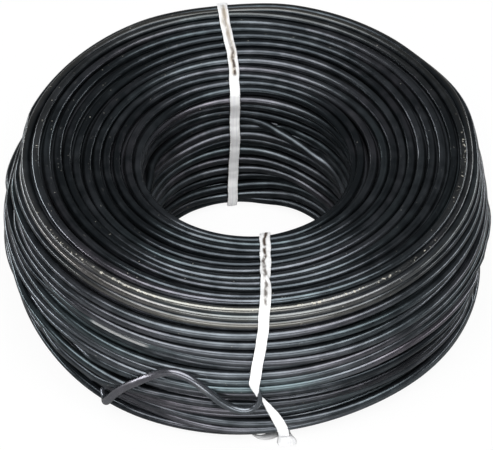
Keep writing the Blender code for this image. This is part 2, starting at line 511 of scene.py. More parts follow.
@dataclass
class Winding:
    """The turns that show, as one long helix whose turns are laid one by one.

    Each pitch is a way round the section with the space between turns there. A band holds
    the ways where a stretch of the section begins, is full, is full no more and ends. Turns
    are unruly on the outer wall, and calmer on the top and in the bore. A turn that changes
    slot rides over its neighbours, and they duck under it. A shade is how light and how
    dull the wire is; the second layer's lightness is painted light, which lifts the gaps
    between the turns in front.
    """

    section: Section
    finish: Finish
    pitches: tuple[tuple[float, float], ...] = (
        (0.0, 1.66), (3.0, 1.66), (6.0, 1.79), (20.0, 1.79), (26.0, 1.84),
        (45.0, 1.92), (50.0, 1.86), (77.0, 1.86), (81.0, 1.68),
    )
    wall_ends: tuple[float, float, float] = (24.5, 51.0, 74.5)
    segments: int = 180
    sides: int = 14
    overlap: int = 3
    tucked: float = 0.95
    start_angle: float = math.radians(-128.0)
    side_wander: float = 0.15
    depth_wander: float = 0.30
    bundle_side: float = 0.35
    bundle_depth: float = 0.22
    mean_depth: float = 0.25
    unruly: float = 1.25
    calmer_top: float = 0.75
    calmer_bore: float = 0.35
    top_band: tuple[float, ...] = (46.0, 54.0, 71.0, 76.0)
    bore_band: tuple[float, ...] = (24.0, 28.0, 46.0, 50.0)
    proudest: float = 0.12
    passes: int = 240
    give: float = 0.25
    ride_over: float = 0.95
    duck_under: float = 0.65
    change: float = 0.6
    end_sink: float = 1.7
    speck_way: float = 72.2
    shoulder_shift: float = 2.0
    worn_way: float = 84.4
    worn_azimuth: float = -121.5
    worn_spread: tuple[float, float] = (4.0, 10.0)
    worn_reach: float = 0.85
    second_depth: float = 1.45
    second_painted_light_and_satin: tuple[float, float] = (0.45, 0.5)
    core_depth: float = 3.6
    dents: tuple[Dent, ...] = ()
    pinches: tuple[Pinch, ...] = ()
    crossings: tuple[Crossing, ...] = ()
    ends: dict[Wall, tuple[int, int]] = field(init=False)

    def __post_init__(self) -> None:
        """Counts the turns and settles where each stretch of them starts and ends."""
        self.way_table = np.linspace(0.0, self.section.inset_length, 2001)
        places, pitches = np.array(self.pitches).T
        density = 1.0 / np.interp(self.way_table, places, pitches, period=self.section.inset_length)
        steps = (density[1:] + density[:-1]) / 2 * np.diff(self.way_table)
        counted = np.concatenate([[0.0], np.cumsum(steps)])
        self.turns = round(counted[-1])
        self.turn_table = counted * self.turns / counted[-1]
        corners = np.interp(self.wall_ends, self.section.way, self.section.inset_way)
        corner_turns = np.interp(corners, self.way_table, self.turn_table).round().astype(int)
        marks = [0, *corner_turns.tolist(), self.turns]
        self.ends = {wall: (marks[i], marks[i + 1]) for i, wall in enumerate(Wall)}

    def way_of(self, turn: np.ndarray) -> np.ndarray:
        """The way round the section of each turn's slot. Slots lie wider on the top and in the bore."""
        rounds, rest = np.divmod(turn, self.turns)
        return rounds * self.section.inset_length + np.interp(rest, self.turn_table, self.way_table)

    def ahead(self, values: np.ndarray, turns: int, rise: float = 0.0) -> np.ndarray:
        """Looks the values up that many turns further on, where the last turn meets the first.

        Args:
            values: one for each point of the wire.
            turns: how many turns on, or back where it is less than 0.
            rise: what the values gain once round the section.

        Returns:
            The values, in the same order of points.
        """
        moved = np.roll(values, -turns * self.segments)
        if turns > 0:
            moved[-turns * self.segments:] += rise
        elif turns < 0:
            moved[:-turns * self.segments] -= rise
        return moved

    def bundles(self, way: np.ndarray, azimuth: np.ndarray, seed: int) -> np.ndarray:
        """Slow random values that neighbouring turns share: cosines over way and azimuth.

        Args:
            way: round the section.
            azimuth: round the coil, in radians.
            seed: gives the same values each run.

        Returns:
            Values with a mean near 0 and a standard deviation near 1.
        """
        draw = np.random.default_rng(seed)
        waves = 28
        total = np.zeros_like(way)
        for _ in range(waves):
            across = draw.integers(3, 13) * draw.choice([-1, 1]) / self.section.inset_length
            round_coil, phase = draw.integers(0, 4), draw.uniform(0, math.tau)
            total += np.cos(math.tau * across * way + round_coil * azimuth + phase)
        return total * math.sqrt(2.0 / waves)

    def lay(self) -> None:
        """Works out the wire's way round the section and its depth, all along its length.

        At turn t the wire starts from slot t, plus wander, bundles and pinches. Neighbours
        that are closer than the wire is thick are then pushed apart along the line between
        them, over and over, so that crowded turns sink. Crossings come last.
        """
        length, wire = self.section.inset_length, self.section.wire
        turn = np.arange(self.turns * self.segments) / self.segments
        azimuth = self.start_angle + math.tau * turn
        slot = self.way_of(turn)
        calm = band(turn, 0.0, self.change, self.turns - self.change, float(self.turns))
        unruly = (
            self.unruly
            - self.calmer_top * band(slot, *self.top_band)
            - self.calmer_bore * band(slot, *self.bore_band)
        )
        side = self.side_wander * wander(turn, 11, 0.10, 2.6)
        side += self.bundle_side * self.bundles(slot, azimuth, 31)
        sink = self.depth_wander * np.clip(wander(turn, 12, 0.08, 2.0) - 0.25, 0.0, None)
        depth = self.bundle_depth * self.bundles(slot, azimuth, 32) - sink
        depth = (depth * unruly - self.mean_depth) * calm
        way = slot + side * calm * unruly
        for pinch in self.pinches:
            way += pinch.at(slot, azimuth, length)
        for dent in self.dents:
            depth += dent.at(slot, azimuth, length)
        highest = depth + self.proudest
        for _ in range(self.passes):
            apart = self.ahead(way, 1, length) - way
            rise = self.ahead(depth, 1) - depth
            gap = np.hypot(apart, rise)
            push = np.clip(wire - gap, 0.0, None) * self.give
            along, out = push * apart / gap, push * rise / gap
            way = way - along + self.ahead(along, -1)
            depth = np.minimum(depth - out + self.ahead(out, -1), highest)
        self.turn = turn
        self.way, self.depth = self.cross_over(way, depth)
        ends = smooth_step(-turn, -0.10, -0.02) + smooth_step(turn, self.turns - 0.10, self.turns - 0.02)
        self.depth -= self.end_sink * ends

    def cross_over(self, way: np.ndarray, depth: np.ndarray) -> tuple[np.ndarray, np.ndarray]:
        """Lets turns change slots: one rides over, and each that it passes ducks under it.

        Args:
            way: the wire's way round the section before.
            depth: its depth before.

        Returns:
            Its way and its depth after.
        """
        length = self.section.inset_length
        slots_way, slots_depth = way.copy(), depth.copy()
        for crossing in self.crossings:
            share = np.mod((math.radians(crossing.azimuth) - self.start_angle) / math.tau, 1.0)
            start = round(np.interp(crossing.way, self.way_table, self.turn_table) - share) + share
            reach, span = crossing.length / 360.0, crossing.span / 360.0
            moved = smooth_step(self.turn, start, start + reach)
            moved -= smooth_step(self.turn, start + span, start + span + reach)
            place = moved * crossing.slots
            way = way + moved * (self.ahead(slots_way, crossing.slots, length) - slots_way)
            depth = depth + moved * (self.ahead(slots_depth, crossing.slots) - slots_depth)
            landing = crossing.slots - self.change
            depth += self.ride_over * band(place, 0.0, self.change, landing, crossing.slots)
            for passed in range(1, crossing.slots + 1):
                back = smooth_step(self.ahead(place, -passed), passed - 1.0, float(passed))
                way = way + back * (self.ahead(slots_way, -1, length) - slots_way)
                depth = depth + back * (self.ahead(slots_depth, -1) - slots_depth)
                depth -= self.duck_under * np.sin(math.pi * back) ** 0.7
        return way, depth

    def follow(self) -> None:
        """Puts the wire's centres in space, with unit vectors out of the coil and across the wire."""
        turn = np.append(self.turn, float(self.turns))
        way = np.append(self.way, self.way[0] + self.section.inset_length)
        depth = np.append(self.depth, self.depth[0])
        azimuth = self.start_angle + math.tau * turn
        self.points, facing = self.section.in_space(azimuth, way, depth - self.section.wire / 2, inset=True)
        self.across, self.outward = wire_frame(self.points, facing)
        self.run = np.cumsum(np.linalg.norm(np.gradient(self.points, axis=0), axis=1))
        self.turn_at, self.azimuth_at = turn, azimuth
        self.way_at = np.mod(way, self.section.inset_length)

    def build(self, wall: Wall) -> bpy.types.Object:
        """Makes one stretch of turns: a round profile carried along the wire's centres.

        Each end runs on a little way inside the next stretch, slightly thinner, so no end shows.

        Args:
            wall: which stretch it is.

        Returns:
            The piece.
        """
        first, last = (mark * self.segments for mark in self.ends[wall])
        low, high = max(first - self.overlap, 0), min(last + self.overlap, len(self.points) - 1)
        rows = np.arange(low, high + 1)
        scale = np.where((rows < first) | (rows > last), self.tucked, 1.0)[:, None, None]
        profile = round_profile(self.section.wire / 2, self.sides)
        corners, faces = carry_profile(
            self.points[rows], self.across[rows], self.outward[rows], profile * scale, closed=False
        )
        looks = {"tone": self.tone(), "film": self.film(), "specks": self.specks(), "satin": self.satin()}
        looks = {name: values[rows] for name, values in looks.items()}
        marks = steel_marks(self.run[rows], profile, **looks)
        return make_piece(wall.value, corners, faces, self.finish, marks)

    def tone(self) -> np.ndarray:
        """How light the oxide is: its own random tone, with painted light and shade by place.

        Returns:
            Slow random values along the wire, lighter on one worn stretch, plus painted light
            and shade: lighter towards the front, most on the outer wall's front, and in the
            bore, and darker at the back.
        """
        worn = near(wrapped(np.degrees(self.azimuth_at) - self.worn_azimuth, 360.0), *self.worn_spread)
        worn *= np.abs(self.way_at - self.worn_way) < self.worn_reach
        # Painted light and shade: the oxide is lighter towards the front and in the bore, and darker at the
        # back and on the wall's back, by place alone.
        to_front = 0.5 - 0.5 * np.sin(self.azimuth_at)
        wall = self.on_wall() * (0.27 * to_front**2 - 0.06)
        base = 0.09 + 0.12 * to_front + wall + 0.14 * self.in_bore()
        return np.clip(base + 0.17 * wander(self.turn_at, 21, 0.3, 1.4) + 2.2 * worn, 0.0, 2.5)

    def on_wall(self) -> np.ndarray:
        """How much the wire belongs to the outer wall: 0 on the top and 1 below the shoulder."""
        return smooth_step(self.way_at, 72.0, 79.0) + smooth_step(-self.way_at, -3.0, 0.0)

    def in_bore(self) -> np.ndarray:
        """How much the wire belongs to the bore's wall: 1 there and 0 elsewhere."""
        return band(self.way_at, 24.0, 30.0, 44.0, 52.0)

    def satin(self) -> np.ndarray:
        """How much duller the wire is than the top's.

        Returns:
            The most on the wall at the front and in the bore, some on the top at the back,
            and less than 0 on the wall's sides, where the wire is the glossiest.
        """
        front = 0.5 - 0.5 * np.sin(self.azimuth_at)
        back = np.clip(np.sin(self.azimuth_at), 0.0, None) ** 2 * (1.0 - self.on_wall())
        return self.on_wall() * (1.9 * front**7 - 0.7) + np.maximum(1.6 * self.in_bore(), 0.9 * back)

    def film(self) -> np.ndarray:
        """How much tan film lies on the wire.

        Returns:
            Up to 1, on three turns over the outer shoulder, where it is most at the front,
            and thinly on the rim at the back.
        """
        way, azimuth = self.way_at, self.azimuth_at
        shoulder = self.speck_way + 1.4 - self.shoulder_shift * np.sin(azimuth)
        front = 0.12 + 0.52 * np.clip(np.cos(azimuth - math.radians(-104.0)), 0.0, None) ** 4
        back = 0.35 * np.clip(np.sin(azimuth), 0.0, None) * near(way - 75.5, 2.0, 4.0)
        uneven = 0.85 + 0.2 * wander(self.turn_at, 22, 0.5, 4.0)
        return np.clip((near(way - shoulder, 1.7, 2.7) * front + back) * uneven, 0.0, 1.0)

    def specks(self) -> np.ndarray:
        """How many white specks cling to the wire.

        Returns:
            The most on one ring inside the shoulder, and some over the top, mostly at the left.
        """
        way, azimuth = self.way_at, self.azimuth_at
        shoulder = self.speck_way - self.shoulder_shift * np.sin(azimuth)
        ring = near(way - shoulder, 0.8, 1.05) * smooth_step(-np.sin(azimuth), -0.5, 0.0)
        thinner = 0.3 * np.sin(azimuth) + 0.3 * np.clip(np.cos(azimuth), 0.0, None)
        ring *= 0.75 - thinner + 0.5 * wander(self.turn_at, 23, 1.0, 8.0)
        left = 0.55 + 0.45 * np.cos(azimuth - math.radians(170.0))
        return np.clip(np.maximum(ring, 0.35 * band(way, 54.0, 66.0, 76.0, 79.0) * left), 0.0, 2.0)

    def crest(self, azimuth: np.ndarray, way: np.ndarray) -> np.ndarray:
        """How far the highest wire stands over the section's outline, near each place.

        The wires' round tops are sampled there, the highest within 1 mm is taken all round
        the section, and the result is smoothed. It is less than 0 where they lie lower.

        Args:
            azimuth: round the coil, in radians, one for each way.
            way: evenly spaced ways over the crests, once round the section.

        Returns:
            The height at each way.
        """
        inset_way = np.interp(way, self.section.way, self.section.inset_way)
        share = np.mod((azimuth - self.start_angle) / math.tau, 1.0)
        first = np.mod(np.round(share * self.segments).astype(int), self.segments)
        index = first[:, None] + self.segments * np.arange(self.turns)
        length, radius = self.section.inset_length, self.section.wire / 2
        apart = wrapped(self.way[index] - inset_way[:, None], length)
        tops = self.depth[index] + np.sqrt(np.clip(radius**2 - apart**2, 0.0, None)) - radius
        height = np.where(np.abs(apart) < radius, tops, -radius).max(axis=1)
        reach = round(1.0 / (way[1] - way[0]))
        moves = range(-reach, reach + 1)
        height = np.max([np.roll(height, move) for move in moves], axis=0)
        return np.mean([np.roll(height, move) for move in moves], axis=0)

    def build_second_layer(self) -> bpy.types.Object:
        """Makes the turns behind, which show in the gaps: half a turn on, and deeper.

        Returns:
            The piece.
        """
        coarse, sides = slice(None, None, 2), 8
        turn = self.turn[coarse]
        azimuth = self.start_angle + math.tau * turn
        way = self.way_of(turn + 0.5) + 0.2 * wander(turn, 14, 0.1, 2.0)
        depth = 0.08 * wander(turn, 15, 0.1, 2.0) - self.second_depth - self.section.wire / 2
        for dent in self.dents:
            depth += dent.at(way, azimuth, self.section.inset_length)
        points, facing = self.section.in_space(azimuth, way, depth, inset=True)
        profile = round_profile(self.section.wire / 2, sides)
        corners, faces = carry_profile(points, *wire_frame(points, facing), profile, closed=False)
        # Painted light: the turns behind are made lighter than those in front, which lifts the dark gaps
        # between them.
        tone, satin = self.second_painted_light_and_satin
        marks = steel_marks(self.run[:-1][coarse], profile, tone=tone, satin=satin)
        return make_piece("wire_second_layer", corners, faces, self.finish, marks)

    def build_buried_turns(self) -> bpy.types.Object:
        """Makes the plain body of the buried turns: the section set in, turned once round.

        Returns:
            The piece.
        """
        way = np.linspace(0.0, self.section.length, 96, endpoint=False)
        radius, height, out, up = self.section.at(way)
        profile = np.stack([radius - out * self.core_depth, height - up * self.core_depth], axis=-1)
        outward = np.pad(round_profile(1.0, 96), ((0, 0), (0, 1)))
        up_axis = np.broadcast_to([0.0, 0.0, 1.0], outward.shape)
        path = np.broadcast_to([*self.section.axis, 0.0], outward.shape)
        corners, faces = carry_profile(path, outward, up_axis, profile, closed=True)
        marks = steel_marks(np.zeros(len(path)), profile)
        marks["lie"][:, 1:] = corners[:, :2]
        return make_piece("buried_turns", corners, faces, self.finish, marks)


def smooth_through(rows: np.ndarray, steps: int) -> np.ndarray:
    """Draws a smooth curve through rows of values: a cubic between each two, Catmull-Rom.

    Args:
        rows: (n, m) values to pass through.
        steps: how many steps there are between two rows.

    Returns:
        The values at each step.
    """
    ends = np.concatenate([[2 * rows[0] - rows[1]], rows, [2 * rows[-1] - rows[-2]]])
    a, b, c, d = (ends[i:len(ends) - 3 + i, None] for i in range(4))
    t = (np.arange(steps) / steps)[None, :, None]
    curve = (2 * b + (c - a) * t + (2 * a - 5 * b + 4 * c - d) * t**2 + (3 * b - a - 3 * c + d) * t**3) / 2
    return np.concatenate([curve.reshape(-1, rows.shape[1]), rows[-1:]])


@dataclass
class FreeEnd:
    """The free end of the wire, bent by hand across the front of the coil."""

    section: Section
    finish: Finish
    loose: float = 0.2
    over_tie: float = 0.5
    thinner: float = 0.94
    taper: float = 0.6
    taper_knots: tuple[float, float] = (1.0, 9.0)
    # Painted light: the free end is the same wire as the turns, made lighter than them.
    painted_lightness: float = 0.9
    dullness: float = 0.35
    steps: int = 12
    sides: int = 24

    def route(self) -> np.ndarray:
        """Degrees from the front, way up the outer wall, and gap to the crests."""
        loose, over = self.loose, self.over_tie
        return np.array([
            (-38.5, -2.1, -2.6), (-36.6, -0.8, -1.5), (-34.9, 0.6, -0.3), (-32.9, 3.1, loose),
            (-31.4, 5.1, loose), (-28.9, 7.8, loose), (-26.6, 9.8, loose), (-24.5, 11.4, loose),
            (-22.5, 12.9, loose), (-20.4, 14.2, loose), (-18.3, 15.2, loose), (-16.2, 15.6, loose),
            (-14.2, 15.3, loose), (-12.3, 14.6, loose), (-10.3, 13.4, loose), (-8.2, 11.9, loose),
            (-6.0, 10.2, loose), (-3.8, 8.9, loose), (-1.8, 8.3, 0.3), (-0.1, 8.4, over),
            (1.4, 9.0, over), (2.4, 10.2, over), (2.75, 11.6, over), (2.6, 12.8, over),
            (2.1, 13.8, 0.35), (1.6, 14.9, 0.2), (0.9, 15.9, 0.1),
        ])

    def build(self) -> bpy.types.Object:
        """Makes the free end: a round profile carried along its bent centreline.

        Returns:
            The piece.
        """
        degrees, way_up, gap = self.route().T
        angle = np.radians(degrees - 90.0)
        knots, _ = self.section.in_space(angle, -way_up, gap + self.section.wire / 2)
        path = smooth_through(knots, self.steps)
        centre = np.array([*self.section.axis, path[:, 2].mean()])
        profile = round_profile(self.section.wire / 2 * self.thinner, self.sides)
        left = np.arange(len(path))[::-1] / self.steps
        cut = (1.0 - self.taper * near(left, *self.taper_knots))[:, None, None]
        across, outward = wire_frame(path, path - centre)
        corners, faces = carry_profile(path, across, outward, profile * cut, closed=False)
        marks = steel_marks(run_along(path), profile, tone=self.painted_lightness, satin=self.dullness)
        return make_piece("wire_free_end", corners, faces, self.finish, marks)


@dataclass
class Tie:
    """A narrow plastic tape, looped once round the coil's section.

    A row holds the way up the outer wall from the bottom corner, which is less than 0
    where the tape has gone in under the coil and on through the bore, and there how far
    the tape lies to the right, its width, its lift over the crests and its roll in degrees.
    The streak holds the ways where the brown smear begins and ends. Share and level are
    the tape's corners across and up, as shares of half its width and of its thickness.
    """

    winding: Winding
    finish: Finish
    name: str
    facing: float
    rows: tuple[tuple[float, ...], ...]
    streak: tuple[float, float]
    stain: float
    thickness: float = 0.2
    clearance: float = 0.06
    slack: float = 0.05
    steps: int = 640
    share: ClassVar[np.ndarray] = np.array([-1.0, -0.6, 0.0, 0.6, 1.0, 0.96, 0.6, 0.0, -0.6, -0.96])
    level: ClassVar[np.ndarray] = np.array([0.3, 0.0, 0.0, 0.0, 0.3, 0.7, 1.0, 1.15, 1.0, 0.7])

    def profile(self, width: np.ndarray, roll: np.ndarray) -> np.ndarray:
        """The tape's section, a thin lens: x = share * width / 2 and y = level, then rolled over.

        Args:
            width: the tape's width at each place.
            roll: its roll there, in radians.

        Returns:
            (n, 10, 2) corners.
        """
        x = width[:, None] / 2 * self.share
        y = self.level * self.thickness
        cos, sin = np.cos(roll)[:, None], np.sin(roll)[:, None]
        return np.stack([x * cos - y * sin, x * sin + y * cos], axis=-1)

    def build(self) -> bpy.types.Object:
        """Makes the tape: a flat lens of a profile carried round the section.

        It lies on the highest wires, except where the rows lift it, and under the coil.

        Returns:
            The piece.
        """
        section = self.winding.section
        table = np.array(self.rows)
        table[:, 0] = np.mod(-table[:, 0], section.length)
        table = table[np.argsort(table[:, 0])]
        way = np.linspace(0.0, section.length, self.steps, endpoint=False)
        sideways, width, lift, roll = (
            np.interp(way, table[:, 0], table[:, column], period=section.length) for column in (1, 2, 3, 4)
        )
        sideways += self.slack * wander(way, 41, 0.02, 0.25)
        radius, _, _, facing_up = section.at(way)
        turned = 1.0 if self.facing < 0 else -1.0
        angle = math.radians(self.facing) + turned * np.arcsin(sideways / radius)
        resting = 1.0 - np.maximum(smooth_step(lift, 0.35, 0.8), smooth_step(-facing_up, 0.5, 0.9))
        lift += (self.winding.crest(angle, way) + self.clearance - lift) * resting
        lift += self.slack * np.abs(wander(way, 42, 0.05, 0.4)) * resting
        path, normal = section.in_space(angle, way, lift)
        along = np.roll(path, -1, axis=0) - np.roll(path, 1, axis=0)
        across = unit(np.cross(along, normal))
        outward = unit(np.cross(across, along))
        outward *= np.sign((outward * normal).sum(axis=1))[:, None]
        profile = self.profile(width, np.radians(roll))
        corners, faces = carry_profile(path, across, outward, profile, closed=True)
        start, end = self.streak
        strength = band(way, start, start + 1.0, end - 1.0, end)
        faded = strength * (1.0 - 0.65 * self.stain * smooth_step(way, 62.0, 69.0))
        middle = 0.05 + (0.22 - 0.14 * self.stain) * wander(way, 43, 0.03, 0.35)
        corners_round, side = len(self.share), np.tile(self.share, len(way))
        marks = {
            "smear": np.repeat(faded, corners_round),
            "stain": np.repeat(strength * self.stain, corners_round),
            "off_streak": side - np.repeat(middle, corners_round),
            "lie": np.column_stack([np.repeat(way, corners_round), side, np.zeros_like(side)]),
        }
        return make_piece(self.name, corners, faces, self.finish, marks)


@dataclass
class TapeEnd:
    """A frayed end of the front tape, which sticks out from under the coil."""

    finish: Finish
    name: str
    knots: tuple[tuple[float, float, float, float], ...]
    painted_edge_shade: float
    thickness: float = 0.06
    curl: float = 0.07
    steps: int = 10
    share: ClassVar[np.ndarray] = np.array([-1.0, -0.85, 0.0, 0.85, 1.0, 0.85, 0.0, -0.85])
    level: ClassVar[np.ndarray] = np.array([0.5, 0.0, 0.0, 0.0, 0.5, 1.0, 1.0, 1.0])

    def build(self) -> bpy.types.Object:
        """Makes the end: a thin lens carried along a smooth line on the floor.

        Each knot is a place on the line and the width there. The tape's width lies level,
        apart from a curl: its edges rise and sink along a sine.

        Returns:
            The piece.
        """
        rows = smooth_through(np.array(self.knots), self.steps)
        path, half_width = rows[:, :3], rows[:, 3:] / 2
        along = unit(np.gradient(path, axis=0))
        across = unit(np.cross(along, np.array([0.0, 0.0, 1.0])))
        curl = self.curl * np.sin(np.linspace(0.0, 9.0, len(path)))[:, None] * self.share
        level = self.level * self.thickness + curl * half_width
        profile = np.stack([half_width * self.share, level], axis=-1)
        corners, faces = carry_profile(path, across, np.cross(across, along), profile, closed=False)
        zero = np.zeros(len(corners))
        run = np.repeat(np.arange(len(path)) / self.steps, len(self.share))
        side = np.tile(self.share, len(path))
        # Painted shade: the brown smear colour is laid along the tail's edges, standing for the grey look
        # of the curled, see-through film; the left tail has it, the right none.
        marks = {
            "smear": zero + self.painted_edge_shade, "stain": zero, "off_streak": 1.0 - np.abs(side),
            "lie": np.column_stack([run, side, zero]),
        }
        return make_piece(self.name, corners, faces, self.finish, marks)


@dataclass(frozen=True)
class AnnealedSteel(Finish):
    """Black annealed steel wire.

    It was drawn through a die and then annealed in a closed pot. That leaves a thin
    blue-black oxide, dark and satin, with faint streaks along the wire, patches that are
    lighter where turns have rubbed, one stretch rubbed bright, a tan film where dust and
    first rust have settled on the outer shoulder, and a few white specks. Grain sizes are
    along and across the wire. A crest holds how far out from the wire's middle a layer
    begins and is full. The streaks are drawn coarser than real ones, so that they show.
    """

    name: str = "black_annealed_steel"
    slot: str = "black annealed steel"
    dark: str = "#363b3f"
    light_warm: str = "#7f7a82"
    light_cool: str = "#6c7a7e"
    tan: str = "#9b9890"
    bare: str = "#f0f1f2"
    speck: str = "#c4bfb1"
    metal: float = 0.90
    roughness: float = 0.21
    uneven_roughness: float = 0.03
    satin_roughness: float = 0.10
    bare_smoothness: float = 0.2
    speck_roughness: float = 0.6
    streak_tone: float = 0.14
    patch_tone: float = 0.22
    streak_mm: tuple[float, float] = (14.0, 0.6)
    hue_mm: tuple[float, float] = (45.0, 20.0)
    speck_mm: tuple[float, float] = (0.45, 0.5)
    patch_mm: float = 3.0
    streak_height_mm: float = 0.012
    bare_crest_mm: tuple[float, float] = (0.62, 0.76)
    film_crest_mm: tuple[float, float] = (0.40, 0.74)
    speck_crest_mm: tuple[float, float] = (0.71, 0.79)

    def paint(self, tree: bpy.types.NodeTree) -> dict:
        """Lays the oxide, and over it the bare steel, the film and the specks.

        Args:
            tree: the material's node tree.

        Returns:
            What goes into the shader's inputs.
        """
        tone, film, specks, satin = (
            add_node(tree, "ShaderNodeAttribute", attribute_name=name).outputs["Fac"]
            for name in ("tone", "film", "specks", "satin")
        )
        lie = add_node(tree, "ShaderNodeAttribute", attribute_name="lie").outputs["Vector"]
        crest = add_node(tree, "ShaderNodeSeparateXYZ", (lie,)).outputs["Z"]
        streaks, hues, grains = (
            add_grain(tree, lie, (1 / long, 1 / fine, 1 / fine), detail)
            for (long, fine), detail in ((self.streak_mm, 2.0), (self.hue_mm, 1.0), (self.speck_mm, 1.0))
        )
        place = add_node(tree, "ShaderNodeTexCoord").outputs["Object"]
        patches = add_grain(tree, place, (1 / (self.patch_mm * MM),) * 3, 4.0)
        for pattern, change in ((streaks, self.streak_tone), (patches, self.patch_tone)):
            part = add_node(tree, "ShaderNodeMapRange", (pattern, 0.3, 0.7, -change, change))
            tone = add_node(tree, "ShaderNodeMath", (tone, part), operation="ADD")
        clusters = add_node(tree, "ShaderNodeMath", (specks, 0.13, grains), operation="MULTIPLY_ADD")
        warm, cool = linear(self.light_warm), linear(self.light_cool)
        light, _ = lay_over(tree, warm, cool, 1.0, (hues, 0.32, 0.66, 0.0, 1.0))
        # The oxide's lightness follows the tone attribute, which holds random tone and also painted light
        # and shade, laid on by place, on the free end and on the second layer.
        oxide, _ = lay_over(tree, linear(self.dark), light, 1.0, (tone, 0.0, 1.0, 0.0, 1.0))
        worn, bare = lay_over(
            tree, oxide, linear(self.bare), 1.0,
            (tone, 1.0, 1.6, 0.0, 1.0), (crest, *self.bare_crest_mm, 0.0, 1.0),
        )
        filmed, _ = lay_over(tree, worn, linear(self.tan), film, (crest, *self.film_crest_mm, 0.0, 1.0))
        colour, speck = lay_over(
            tree, filmed, linear(self.speck), 1.0,
            (clusters, 0.74, 0.86, 0.0, 0.9), (crest, *self.speck_crest_mm, 0.0, 1.0),
        )
        low, high = self.roughness - self.uneven_roughness, self.roughness + self.uneven_roughness
        rough = add_node(tree, "ShaderNodeMapRange", (streaks, 0.3, 0.7, low, high))
        for amount, change in ((satin, self.satin_roughness), (bare, -self.bare_smoothness)):
            rough = add_node(tree, "ShaderNodeMath", (amount, change, rough), operation="MULTIPLY_ADD")
        chalky = add_node(tree, "ShaderNodeMath", (speck, self.speck_roughness), operation="MULTIPLY")
        rough = add_node(tree, "ShaderNodeMath", (rough, chalky), operation="MAXIMUM")
        metal = add_node(tree, "ShaderNodeMapRange", (speck, 0.0, 1.0, self.metal, 0.0))
        relief = {"Strength": 0.6, "Distance": self.streak_height_mm * MM, "Height": streaks}
        bump = add_node(tree, "ShaderNodeBump", relief)
        return {"Base Color": colour, "Metallic": metal, "Roughness": rough, "Normal": bump}


@dataclass(frozen=True)
class PlasticTape(Finish):
    """White polypropylene tape.

    It is slit from thin film and drawn lengthwise, which leaves it satin, with fine lines
    along it. Oily wire has smeared a thin broken brown line down the middle where it
    crosses the top of the coil, with a faint tan stain beside it. The fine lines are drawn
    coarser than real ones, so that they show. A grain is so many millimetres long, and its
    width and the edges of the smear and the stain are shares of half the tape's width.
    """

    name: str = "white_polypropylene_tape"
    slot: str = "white plastic tape"
    white: str = "#fcfcfb"
    grey: str = "#ececee"
    stain: str = "#bbb0a1"
    brown: str = "#4a3e35"
    roughness: float = 0.45
    smear_edges: tuple[float, float] = (0.144, 0.456)
    stain_edges: tuple[float, float] = (0.25, 0.85)
    line_grain: tuple[float, float] = (20.0, 0.2)
    dash_grain: tuple[float, float] = (1.3, 2 / 3)
    cloud_grain: tuple[float, float] = (4.0, 1.25)
    line_height_mm: float = 0.03

    def paint(self, tree: bpy.types.NodeTree) -> dict:
        """Lays white film with fine lines, and over it the stain and the smear.

        Args:
            tree: the material's node tree.

        Returns:
            What goes into the shader's inputs.
        """
        off_streak, smear, stain = (
            add_node(tree, "ShaderNodeAttribute", attribute_name=name).outputs["Fac"]
            for name in ("off_streak", "smear", "stain")
        )
        lie = add_node(tree, "ShaderNodeAttribute", attribute_name="lie").outputs["Vector"]
        off = add_node(tree, "ShaderNodeMath", (off_streak,), operation="ABSOLUTE")
        grains = ((self.line_grain, 2.0), (self.dash_grain, 2.0), (self.cloud_grain, 3.0))
        lines, dashes, clouds = (
            add_grain(tree, lie, (1 / long, 1 / wide, 1.0), detail) for (long, wide), detail in grains
        )
        white, grey = linear(self.white), linear(self.grey)
        film, _ = lay_over(tree, white, grey, 1.0, (lines, 0.35, 0.65, 0.0, 1.0))
        stained, _ = lay_over(
            tree, film, linear(self.stain), stain,
            (off, *self.stain_edges, 1.0, 0.0), (clouds, 0.35, 0.6, 0.15, 1.0),
        )
        colour, _ = lay_over(
            tree, stained, linear(self.brown), smear,
            (off, *self.smear_edges, 1.0, 0.0), (dashes, 0.34, 0.48, 0.2, 1.0),
        )
        relief = {"Strength": 0.5, "Distance": self.line_height_mm * MM, "Height": lines}
        bump = add_node(tree, "ShaderNodeBump", relief)
        return {"Base Color": colour, "Roughness": self.roughness, "Normal": bump}


